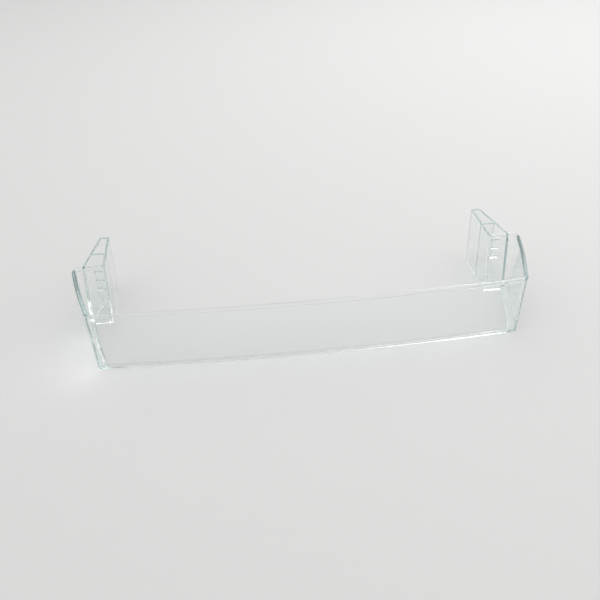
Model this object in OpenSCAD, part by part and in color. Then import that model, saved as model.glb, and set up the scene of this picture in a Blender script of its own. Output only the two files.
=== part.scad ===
// Clear shelf rail for a fridge door, moulded in one piece.
// +Z is up and +Y points to the door. The origin is at the bottom centre of the rail's box.
// The rim's outline sets the plan: a bowed front, two splayed ends, and a flange and a guide behind each end.

/* [Overall] */
// Width across the rear corners, the widest place
overall_w = 450; // [380:1:520]
// How far each end wall runs outwards between its front corner and its rear corner
splay = 19; // [5:0.5:35]
// Height of the rail
rail_h = 64; // [50:1:90]
// How far the middle of the front stands out past its corners
bow = 8; // [2:0.5:20]

/* [Walls] */
// Thickness of every outer wall
wall_t = 3; // [2:0.1:4]
// How far the foot of the walls stands in from the rim
lean = 3.5; // [0.5:0.1:6]
// Inside radius of the corners at the foot
inner_r = 0.8; // [0.4:0.1:2.5]
// How far the round rim stands out on each side of the wall
rim_lip = 0.6; // [0.2:0.1:1.2]
// Radius of the outer edge of the foot
foot_r = 0.8; // [0.3:0.1:1.2]

/* [Ledge at the foot] */
// Thickness of the ledge
ledge_t = 3; // [1.5:0.1:5]
// How far the ledge reaches in from the front wall
front_ledge_w = 4; // [2:0.1:10]
// How far the ledge reaches in from the end walls
end_ledge_w = 6.5; // [2:0.1:12]

/* [Ends and flanges] */
// Depth from the front corners to the back of the flanges
end_depth = 88; // [60:1:120]
// How far the middle of an end wall bulges outwards
end_bulge = 1.2; // [0.3:0.1:6]
// Width of a flange, from the rear corner to the guide's inner face
flange_w = 31.5; // [26:0.5:45]

/* [Guides] */
// Depth of a guide behind its flange
guide_depth = 58; // [40:1:80]
// Width of a guide where it leaves the flange
guide_root_w = 22; // [14:0.5:27]
// Width of a guide at its back
guide_tip_w = 10; // [7:0.5:14]
// Wall thickness of a guide
guide_t = 2.4; // [1.5:0.1:3.5]
// Distance of the cross web behind the flange
web_back = 24; // [10:1:35]
// How far the guides stop short of the top of the rim
guide_drop = 1.2; // [0.6:0.1:4]
// How much the post at the inner end of a flange is thicker than the rim, as a radius
post_lip = 0.2; // [0.1:0.1:1]

/* [Stop ribs] */
// Number of ribs on each flange
rib_count = 3; // [1:1:4]
// Length of a rib
rib_len = 11; // [6:0.5:18]
// Thickness of a rib
rib_t = 1.6; // [1:0.1:2.5]
// Distance from rib to rib
rib_step = 9.5; // [4:0.5:12]
// Distance of the top rib below the top of the rim
rib_drop = 6; // [5:0.5:15]
// How far the top rib stands out
rib_out = 1.4; // [1.3:0.1:2]
// How much further each rib stands out than the one above it
rib_gain = 0.7; // [0:0.1:1]

/* [Hidden] */
$fn = 48;
// Facets of the small rounds in a section, and of the long arcs in the plan
section_fn = 24;
arc_fn = 360;
clear_tint = [0.88, 0.93, 0.92, 0.45];
// Radius of the rim, and the height of its middle
rim_r = wall_t / 2 + rim_lip;
rim_z = rail_h - rim_r;
front_w = overall_w - 2 * splay;
depth = bow + rim_lip + end_depth + guide_depth;
front_y = depth / 2 - guide_depth - end_depth;
lean_deg = atan(lean / rim_z);
// The corner radius at the rim leaves inner_r inside the wall at the foot
corner_r = inner_r + wall_t + lean;
// How far the ledge is sunk into the walls that carry it
seat = 0.8;
// How far the shapes that only cut run past the part
cut_over = 20;

// The angles of the plan are whole thousandths of a degree, so that each run starts where the last one ends
function fine_angle(a) = round(a * 1000) / 1000;
function spoke(a) = [cos(a), sin(a)];

// Arc of the front
front_r = (pow(front_w / 2, 2) + pow(bow, 2)) / (2 * bow);
front_mid = [0, front_y + front_r - bow];
front_half = fine_angle(asin((front_w / 2 - corner_r) / (front_r - corner_r)));
corner_mid = front_mid + (front_r - corner_r) * spoke(front_half - 90);

// Arc of an end wall, from the front corner to the rear corner
rear_aim = [overall_w / 2 - rim_lip - corner_r, front_y + end_depth - corner_r];
end_run = rear_aim - corner_mid;
end_turn = atan2(end_run[1], end_run[0]) - 90;
end_r = pow(norm(end_run) / 2, 2) / (2 * end_bulge) + end_bulge / 2 + corner_r;
end_half = asin(norm(end_run) / 2 / (end_r - corner_r));
end_from = fine_angle(end_turn - end_half);
end_to = fine_angle(end_turn + end_half);
end_mid = corner_mid - (end_r - corner_r) * spoke(end_from);
rear_mid = end_mid + (end_r - corner_r) * spoke(end_to);
flange_y = rear_mid[1] + corner_r;

guide_x = overall_w / 2 - flange_w;
guide_h = rail_h - guide_drop;
guide_back = flange_y + guide_depth;
post_r = rim_r + post_lip;
post_x = guide_x + rim_r;

// How far in the wall's outer face stands at height z
function stand_in(z) = lean * (1 - z / rim_z);
// Middle line of a guide's slanted outer plate
function outer_plate_x(y) =
    guide_x + guide_root_w - guide_t / 2 - (y - flange_y) * (guide_root_w - guide_tip_w) / guide_depth;

// Section of every outer wall: x runs outwards from the rim's outer face and y runs up
module wall_section() {
    foot_x = -stand_in(foot_r) - foot_r / cos(lean_deg);
    polygon([
        [-lean - wall_t, 0],
        [foot_x, 0],
        [foot_x + foot_r * cos(lean_deg), foot_r - foot_r * sin(lean_deg)],
        [0, rim_z],
        [-wall_t, rim_z]
    ]);
    translate([foot_x, foot_r]) circle(foot_r, $fn = section_fn);
    translate([-wall_t / 2, rim_z]) circle(rim_r, $fn = section_fn);
}

// Section of the ledge, with a round tip
module ledge_section(reach) {
    tip_x = -lean - wall_t - reach + ledge_t / 2;
    translate([tip_x, 0]) square([-lean - wall_t + 2 * seat - tip_x, ledge_t]);
    translate([tip_x, ledge_t / 2]) circle(ledge_t / 2, $fn = section_fn);
}

// Moves by whole millimetres, then by thousandths, then by the rest, so that runs meet without a sliver
module placed(p) {
    whole = [round(p[0]), round(p[1]), 0];
    fine = [round((p[0] - whole[0]) * 1000), round((p[1] - whole[1]) * 1000), 0] / 1000;
    translate(whole) translate(fine) translate([p[0], p[1], 0] - whole - fine) children();
}

// Runs a section along an arc, from one angle to another
module along_arc(mid, radius, from, to, facets) {
    placed(mid) rotate_extrude(angle = to - from, start = from, $fn = facets) placed([radius, 0]) children();
}

module front_wall() {
    along_arc(front_mid, front_r, -90 - front_half, front_half - 90, arc_fn) wall_section();
}

// Front corner, curved end wall, rear corner and flange in one run
module end_wall() {
    along_arc(corner_mid, corner_r, front_half - 90, end_from, $fn) wall_section();
    along_arc(end_mid, end_r, end_from, end_to, arc_fn) wall_section();
    along_arc(rear_mid, corner_r, end_to, 90, $fn) wall_section();
    placed([rear_mid[0], flange_y]) rotate([90, 0, -90]) mirror([1, 0, 0])
        linear_extrude(rear_mid[0] - post_x) wall_section();
}

// Plan of the room between the walls at the foot, as deep as the ledge is sunk into them
module foot_room() {
    sunk = -lean - wall_t + seat;
    linear_extrude(ledge_t)
        intersection() {
            translate(front_mid) circle(front_r + sunk, $fn = 2 * arc_fn);
            translate(end_mid) circle(end_r + sunk, $fn = arc_fn);
            mirror([1, 0]) translate(end_mid) circle(end_r + sunk, $fn = arc_fn);
            translate([-overall_w / 2, flange_y + sunk - overall_w]) square(overall_w);
        }
}

// Ledge along the foot of the front wall and of both end walls
module ledge() {
    front_over = asin(front_w / 2 / front_r);
    end_over = asin((corner_r + end_ledge_w) / end_r);
    intersection() {
        foot_room();
        union() {
            along_arc(front_mid, front_r, -90 - front_over, front_over - 90, arc_fn)
                ledge_section(front_ledge_w);
            for (side = [0, 1]) mirror([side, 0, 0])
                along_arc(end_mid, end_r, end_from - end_over, end_to + end_over, arc_fn)
                    ledge_section(end_ledge_w);
        }
    }
}

// Flat strip with round ends between two points
module strip(a, b) {
    run = b - a;
    translate(a) rotate(atan2(run[1], run[0])) translate([0, -guide_t / 2]) square([norm(run), guide_t]);
    for (end = [a, b]) translate(end) circle(guide_t / 2, $fn = section_fn);
}

// Everything in front of the middle of the leaning flange
module before_flange() {
    low_z = -cut_over;
    high_z = rail_h + cut_over;
    translate([guide_x - cut_over, flange_y - wall_t / 2, 0])
        rotate([90, 0, 90])
            linear_extrude(flange_w + 2 * cut_over)
                polygon([
                    [-cut_over, low_z],
                    [-stand_in(low_z), low_z],
                    [-stand_in(high_z), high_z],
                    [-cut_over, high_z]
                ]);
}

// Hollow guide: inner plate, end cap, slanted outer plate and cross web, seated in the leaning flange
module guide() {
    inner_x = guide_x + guide_t / 2;
    root_y = flange_y - lean - wall_t;
    cap_y = guide_back - guide_t / 2;
    web_y = flange_y + web_back;
    difference() {
        linear_extrude(guide_h) {
            strip([inner_x, root_y], [inner_x, cap_y]);
            strip([inner_x, cap_y], [outer_plate_x(cap_y), cap_y]);
            strip([outer_plate_x(cap_y), cap_y], [outer_plate_x(root_y), root_y]);
            strip([inner_x, web_y], [outer_plate_x(web_y), web_y]);
        }
        before_flange();
    }
}

// Round post that closes the inner end of the flange, leans with it and stops just under the rim
module post() {
    intersection() {
        translate([post_x, flange_y - wall_t / 2 - lean, 0])
            rotate([-lean_deg, 0, 0])
                translate([0, 0, -cut_over]) cylinder(h = rail_h + 2 * cut_over, r = post_r);
        translate([post_x - cut_over, flange_y - cut_over, 0])
            cube([2 * cut_over, 2 * cut_over, rail_h - guide_drop / 2]);
    }
}

// Short ribs with round tips on the front of the flange, which stand out further towards the foot
module stop_ribs() {
    for (i = [0 : rib_count - 1]) {
        z = rail_h - rib_drop - i * rib_step;
        out = rib_out + i * rib_gain - rib_t / 2;
        translate([post_x, flange_y - wall_t - stand_in(z), z])
            rotate([90, 0, 90])
                linear_extrude(guide_x + rib_len - post_x) {
                    translate([-out, -rib_t / 2]) square([out + wall_t / 2, rib_t]);
                    translate([-out, 0]) circle(rib_t / 2, $fn = section_fn);
                }
    }
}

module shelf_rail() {
    color(clear_tint) {
        front_wall();
        ledge();
        for (side = [0, 1]) mirror([side, 0, 0]) {
            end_wall();
            guide();
            post();
            stop_ribs();
        }
    }
}

shelf_rail();
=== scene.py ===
"""Looks of the clear shelf rail for a fridge door: its styrene, and the pale table and soft light it is shown in."""

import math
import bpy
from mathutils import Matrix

bl_info = {
    "name": "Fridge Door Shelf Rail",
    "version": (1, 0, 0),
    "blender": (4, 5, 0),
    "location": "View3D > Sidebar > Shelf Rail",
    "description": "Clear styrene finish, studio table and camera for a moulded fridge door shelf rail",
    "category": "Object",
}

import bmesh
import bpy
from bpy.props import FloatProperty, FloatVectorProperty, IntProperty, PointerProperty
from bpy.types import Operator, Panel, PropertyGroup
from mathutils import Matrix, Vector

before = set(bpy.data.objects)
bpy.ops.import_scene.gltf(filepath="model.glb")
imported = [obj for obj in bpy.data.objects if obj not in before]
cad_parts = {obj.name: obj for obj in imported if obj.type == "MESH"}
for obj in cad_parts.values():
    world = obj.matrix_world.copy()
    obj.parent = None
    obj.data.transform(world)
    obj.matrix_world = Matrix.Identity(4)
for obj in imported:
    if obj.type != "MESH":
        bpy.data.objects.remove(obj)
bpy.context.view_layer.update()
RAIL = "shelf_rail"
STYRENE_IOR = 1.59
SHADOW_TINT = (0.93, 0.945, 0.94, 1.0)
SCUFF_SCALE = 140.0
GRAIN_SCALE = 900.0
GRAIN_DEPTH = 0.00003
SWEEP_BEND = 0.8
SWEEP_STEPS = 96
BEND_STEPS = 12
SOFTBOX_PLACE = (1.0, 1.0, 1.7)


class StyreneSettings(PropertyGroup):
    """The clear styrene that the rail is moulded in"""
    tint: FloatVectorProperty(
        name="Tint", description="Colour that light takes on as it crosses a wall",
        default=(0.985, 0.995, 0.99), subtype="COLOR", size=3, min=0, max=1)
    depth_tint: FloatVectorProperty(
        name="Depth tint", description="Colour that a long way through the plastic turns to",
        default=(0.80, 0.88, 0.88), subtype="COLOR", size=3, min=0, max=1)
    depth_density: FloatProperty(
        name="Depth density", description="How strongly a long way through the plastic darkens, for each metre",
        default=20.0, min=0, max=200)
    polish: FloatProperty(
        name="Polish roughness", description="Roughness of the polished walls",
        default=0.03, min=0, max=1, subtype="FACTOR")
    scuff: FloatProperty(
        name="Scuff roughness", description="Roughness where handling has dulled the plastic",
        default=0.14, min=0, max=1, subtype="FACTOR")
    flow_size: FloatProperty(
        name="Flow waviness size", description="Length of the soft waves that the melt leaves in a wall",
        default=0.03, min=0.002, max=0.2, unit="LENGTH")
    flow_depth: FloatProperty(
        name="Flow waviness depth", description="Height of those waves",
        default=0.00002, min=0, max=0.001, unit="LENGTH")


class StudioSettings(PropertyGroup):
    """The table, the sweep behind it and the soft light"""
    table_colour: FloatVectorProperty(
        name="Table colour", description="Colour of the table and the sweep",
        default=(0.74, 0.74, 0.735), subtype="COLOR", size=3, min=0, max=1)
    sweep_radius: FloatProperty(
        name="Sweep radius", description="Distance from the rail to the foot of the sweep",
        default=2.6, min=1, max=10, unit="LENGTH")
    sweep_height: FloatProperty(
        name="Sweep height", description="Height of the sweep's wall",
        default=1.6, min=0.2, max=6, unit="LENGTH")
    sky: FloatProperty(
        name="Room light", description="Strength of the even light from above",
        default=0.80, min=0, max=5)
    key_power: FloatProperty(
        name="Key power", description="Power of the large soft lamp behind and to the right",
        default=18.0, min=0, max=500, subtype="POWER", unit="POWER")
    key_size: FloatProperty(
        name="Key size", description="Side of the large soft lamp",
        default=1.2, min=0.1, max=4, unit="LENGTH")
    table_gap: FloatProperty(
        name="Table gap", description="Air between the table and the foot of the rail, so that the faces stay apart",
        default=0.0001, min=0, max=0.001, unit="LENGTH")
    bounces: IntProperty(
        name="Light bounces", description="How often light may turn inside the clear walls",
        default=48, min=4, max=256)


class CameraSettings(PropertyGroup):
    """The photograph's viewpoint"""
    pitch: FloatProperty(
        name="Pitch", description="Angle that the camera looks down by",
        default=math.radians(33.52), subtype="ANGLE", unit="ROTATION")
    turn: FloatProperty(
        name="Turn", description="Angle that the camera stands round to the left by",
        default=math.radians(6.19), subtype="ANGLE", unit="ROTATION")
    roll: FloatProperty(
        name="Roll", description="Tilt of the camera about its own line of sight",
        default=math.radians(-1.47), subtype="ANGLE", unit="ROTATION")
    distance: FloatProperty(
        name="Distance", description="Distance from the camera to the point it looks at",
        default=0.84484, min=0.1, max=10, unit="LENGTH")
    aim: FloatVectorProperty(
        name="Aim", description="Point on the table that the camera looks at",
        default=(-0.00125, 0.02335, 0.0), size=3, subtype="TRANSLATION", unit="LENGTH")
    focal: FloatProperty(
        name="Focal length", description="Focal length on a 36 mm sensor, in millimetres",
        default=48.217, min=10, max=300)


def new_material(name):
    """An empty node material, its tree, and its output node."""
    material = bpy.data.materials.new(name)
    material.use_nodes = True
    tree = material.node_tree
    tree.nodes.clear()
    return material, tree, tree.nodes.new("ShaderNodeOutputMaterial")


def node(tree, kind, settings=None, **sockets):
    """Adds one node. Sockets are named, or numbered as i0, and take a value or the output that feeds them."""
    made = tree.nodes.new(kind)
    for key, value in (settings or {}).items():
        setattr(made, key, value)
    for key, value in sockets.items():
        numbered = key[0] == "i" and key[1:].isdigit()
        target = made.inputs[int(key[1:]) if numbered else key.replace("_", " ")]
        if isinstance(value, bpy.types.NodeSocket):
            tree.links.new(value, target)
        else:
            target.default_value = value
    return made


def revolve(points, steps):
    """A mesh of a profile of (radius, height) pairs turned about Z. The first point is on the axis."""
    bm = bmesh.new()
    centre = bm.verts.new((0, 0, points[0][1]))
    rings = []
    for radius, height in points[1:]:
        rings.append([
            bm.verts.new((radius * math.cos(turn), radius * math.sin(turn), height))
            for turn in (2 * math.pi * k / steps for k in range(steps))
        ])
    for k in range(steps):
        bm.faces.new((centre, rings[0][k], rings[0][(k + 1) % steps]))
        for inner, outer in zip(rings, rings[1:]):
            bm.faces.new((inner[k], outer[k], outer[(k + 1) % steps], inner[(k + 1) % steps]))
    return bm


def styrene_material(look):
    """Clear polished styrene with soft flow waves, a few scuffs, and a tint that grows with depth."""
    material, tree, out = new_material("clear_styrene_finish")
    place = node(tree, "ShaderNodeTexCoord").outputs["Object"]
    waves = node(tree, "ShaderNodeTexNoise", {"noise_dimensions": "3D"},
                 Vector=place, Scale=1 / look.flow_size, Detail=1.0, Roughness=0.4)
    bump = node(tree, "ShaderNodeBump", Height=waves.outputs["Fac"],
                Distance=look.flow_depth, Strength=1.0)
    marks = node(tree, "ShaderNodeTexNoise", {"noise_dimensions": "3D"},
                 Vector=place, Scale=SCUFF_SCALE, Detail=4.0, Roughness=0.65, Distortion=0.6)
    worn = node(tree, "ShaderNodeMapRange", Value=marks.outputs["Fac"],
                From_Min=0.52, From_Max=0.78, To_Min=look.polish, To_Max=look.scuff)
    plastic = node(tree, "ShaderNodeBsdfPrincipled", Base_Color=(*look.tint, 1.0), IOR=STYRENE_IOR,
                   Roughness=worn.outputs["Result"], Normal=bump.outputs["Normal"])
    plastic.inputs["Transmission Weight"].default_value = 1.0
    clear = node(tree, "ShaderNodeBsdfTransparent", Color=SHADOW_TINT)
    shadow = node(tree, "ShaderNodeLightPath").outputs["Is Shadow Ray"]
    surface = node(tree, "ShaderNodeMixShader", i0=shadow, i1=plastic.outputs["BSDF"], i2=clear.outputs["BSDF"])
    depth = node(tree, "ShaderNodeVolumeAbsorption", Color=(*look.depth_tint, 1.0), Density=look.depth_density)
    tree.links.new(surface.outputs["Shader"], out.inputs["Surface"])
    tree.links.new(depth.outputs["Volume"], out.inputs["Volume"])
    return material


def table_material(look):
    """Matt pale laminate with a very fine grain."""
    material, tree, out = new_material("pale_table_laminate")
    place = node(tree, "ShaderNodeTexCoord").outputs["Object"]
    grain = node(tree, "ShaderNodeTexNoise", {"noise_dimensions": "3D"}, Vector=place, Scale=GRAIN_SCALE, Detail=2.0)
    bump = node(tree, "ShaderNodeBump", Height=grain.outputs["Fac"], Distance=GRAIN_DEPTH, Strength=0.3)
    laminate = node(tree, "ShaderNodeBsdfPrincipled", Base_Color=(*look.table_colour, 1.0),
                    Roughness=0.9, Normal=bump.outputs["Normal"])
    laminate.inputs["Specular IOR Level"].default_value = 0.2
    tree.links.new(laminate.outputs["BSDF"], out.inputs["Surface"])
    return material


class SHELFRAIL_OT_finish_styrene(Operator):
    """Give the moulded rail its clear styrene"""
    bl_idname = "shelf_rail.finish_styrene"
    bl_label = "Finish Styrene"

    def execute(self, context):
        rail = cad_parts[RAIL]
        material = styrene_material(context.scene.shelf_rail_styrene)
        for slot in rail.material_slots:
            slot.material = material
        return {"FINISHED"}


class SHELFRAIL_OT_set_stage(Operator):
    """Build the pale table, its round sweep and the soft light"""
    bl_idname = "shelf_rail.set_stage"
    bl_label = "Set Stage"

    def execute(self, context):
        look = context.scene.shelf_rail_studio
        flat = [(look.sweep_radius * share, 0.0) for share in (0, 0.1, 0.25, 0.5, 0.75, 1)]
        curve = [
            (look.sweep_radius + SWEEP_BEND * math.sin(a), SWEEP_BEND * (1 - math.cos(a)))
            for a in (math.pi / 2 * k / BEND_STEPS for k in range(1, BEND_STEPS + 1))
        ]
        wall = [
            (look.sweep_radius + SWEEP_BEND, SWEEP_BEND + (look.sweep_height - SWEEP_BEND) * share)
            for share in (0.5, 1)
        ]
        bm = revolve(flat + curve + wall, SWEEP_STEPS)
        mesh = bpy.data.meshes.new("table_sweep")
        bm.to_mesh(mesh)
        bm.free()
        mesh.polygons.foreach_set("use_smooth", [True] * len(mesh.polygons))
        mesh.transform(Matrix.Translation((0, 0, -look.table_gap)))
        table = bpy.data.objects.new("table_sweep", mesh)
        mesh.materials.append(table_material(look))
        context.scene.collection.objects.link(table)

        world = bpy.data.worlds.new("room_light")
        world.use_nodes = True
        background = world.node_tree.nodes["Background"]
        background.inputs["Color"].default_value = (1.0, 1.0, 1.0, 1.0)
        background.inputs["Strength"].default_value = look.sky
        context.scene.world = world

        lamp = bpy.data.lights.new("key_softbox", "AREA")
        lamp.shape = "SQUARE"
        lamp.size = look.key_size
        lamp.energy = look.key_power
        softbox = bpy.data.objects.new("key_softbox", lamp)
        place = Vector(SOFTBOX_PLACE)
        softbox.matrix_world = Matrix.Translation(place) @ place.to_track_quat("Z", "Y").to_matrix().to_4x4()
        context.scene.collection.objects.link(softbox)

        # Light runs a long way inside a clear wall before it leaves through an edge
        light_paths = context.scene.cycles
        light_paths.max_bounces = look.bounces
        light_paths.glossy_bounces = look.bounces
        light_paths.transmission_bounces = look.bounces
        light_paths.transparent_max_bounces = look.bounces
        context.scene.view_settings.view_transform = "Standard"
        return {"FINISHED"}


class SHELFRAIL_OT_set_camera(Operator):
    """Stand the camera where the photograph was taken from"""
    bl_idname = "shelf_rail.set_camera"
    bl_label = "Set Camera"

    def execute(self, context):
        look = context.scene.shelf_rail_camera
        back = Vector((
            -math.sin(look.turn) * math.cos(look.pitch),
            -math.cos(look.turn) * math.cos(look.pitch),
            math.sin(look.pitch),
        ))
        right = Vector((0, 0, 1)).cross(back).normalized()
        up = back.cross(right)
        side = math.cos(look.roll) * right + math.sin(look.roll) * up
        top = -math.sin(look.roll) * right + math.cos(look.roll) * up
        data = bpy.data.cameras.new("photo_camera")
        data.lens = look.focal
        data.sensor_width = 36.0
        data.clip_start, data.clip_end = 0.01, 50.0
        camera = bpy.data.objects.new("photo_camera", data)
        turned = Matrix((side, top, back)).transposed().to_4x4()
        camera.matrix_world = Matrix.Translation(Vector(look.aim) + back * look.distance) @ turned
        context.scene.collection.objects.link(camera)
        context.scene.camera = camera
        return {"FINISHED"}


class SHELFRAIL_PT_panel(Panel):
    """Sizes, colours and steps of the shelf rail"""
    bl_idname = "SHELFRAIL_PT_panel"
    bl_label = "Shelf Rail"
    bl_space_type = "VIEW_3D"
    bl_region_type = "UI"
    bl_category = "Shelf Rail"

    def draw(self, context):
        scene = context.scene
        for title, settings, step in (
            ("Styrene", scene.shelf_rail_styrene, SHELFRAIL_OT_finish_styrene),
            ("Studio", scene.shelf_rail_studio, SHELFRAIL_OT_set_stage),
            ("Camera", scene.shelf_rail_camera, SHELFRAIL_OT_set_camera),
        ):
            box = self.layout.box()
            box.label(text=title)
            for key in settings.bl_rna.properties.keys():
                if key not in ("rna_type", "name"):
                    box.prop(settings, key)
            box.operator(step.bl_idname)


CLASSES = (
    StyreneSettings,
    StudioSettings,
    CameraSettings,
    SHELFRAIL_OT_finish_styrene,
    SHELFRAIL_OT_set_stage,
    SHELFRAIL_OT_set_camera,
    SHELFRAIL_PT_panel,
)


def register():
    for cls in CLASSES:
        bpy.utils.register_class(cls)
    bpy.types.Scene.shelf_rail_styrene = PointerProperty(type=StyreneSettings)
    bpy.types.Scene.shelf_rail_studio = PointerProperty(type=StudioSettings)
    bpy.types.Scene.shelf_rail_camera = PointerProperty(type=CameraSettings)


def unregister():
    del bpy.types.Scene.shelf_rail_camera
    del bpy.types.Scene.shelf_rail_studio
    del bpy.types.Scene.shelf_rail_styrene
    for cls in reversed(CLASSES):
        bpy.utils.unregister_class(cls)


def main():
    register()
    bpy.ops.shelf_rail.set_stage()
    bpy.ops.shelf_rail.set_camera()
    bpy.ops.shelf_rail.finish_styrene()


if __name__ == "__main__":
    main()
